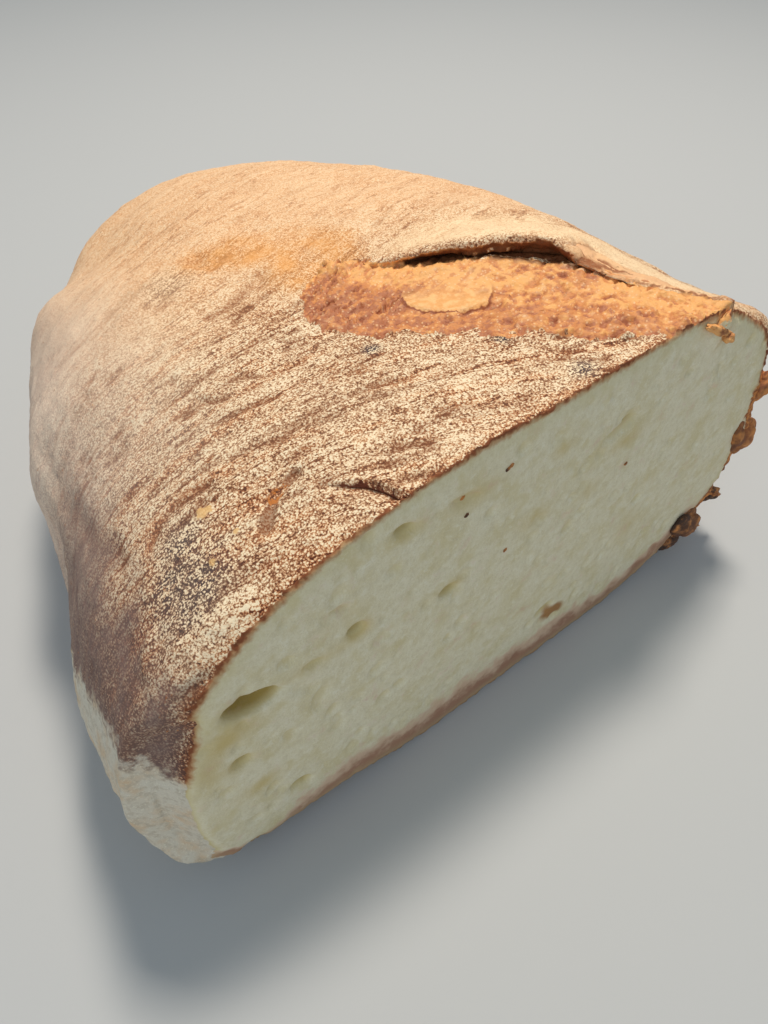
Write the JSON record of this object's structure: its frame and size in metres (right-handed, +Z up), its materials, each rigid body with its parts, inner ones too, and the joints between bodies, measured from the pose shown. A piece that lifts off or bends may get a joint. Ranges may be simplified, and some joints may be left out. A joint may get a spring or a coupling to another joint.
{
  "type": "half loaf of bread",
  "caption": "Half of a crusty white country loaf, cut across, with a flour-dusted brown crust, an opened slash with a raised lip and a pale porous crumb face.",
  "frame": {"origin": "at ground level on the flat base, under the middle of the half loaf's box", "axes": "+X along the cut, left to right as seen from the cut side; +Y from the cut face towards the loaf's rounded end; +Z up"},
  "size_m": [0.175, 0.1842, 0.0876],
  "materials": {
    "crust": "matte, browned and dusted with flour"
  },
  "bodies": {
    "root": {"half_loaf": "crust"}
  },
  "joints": []
}
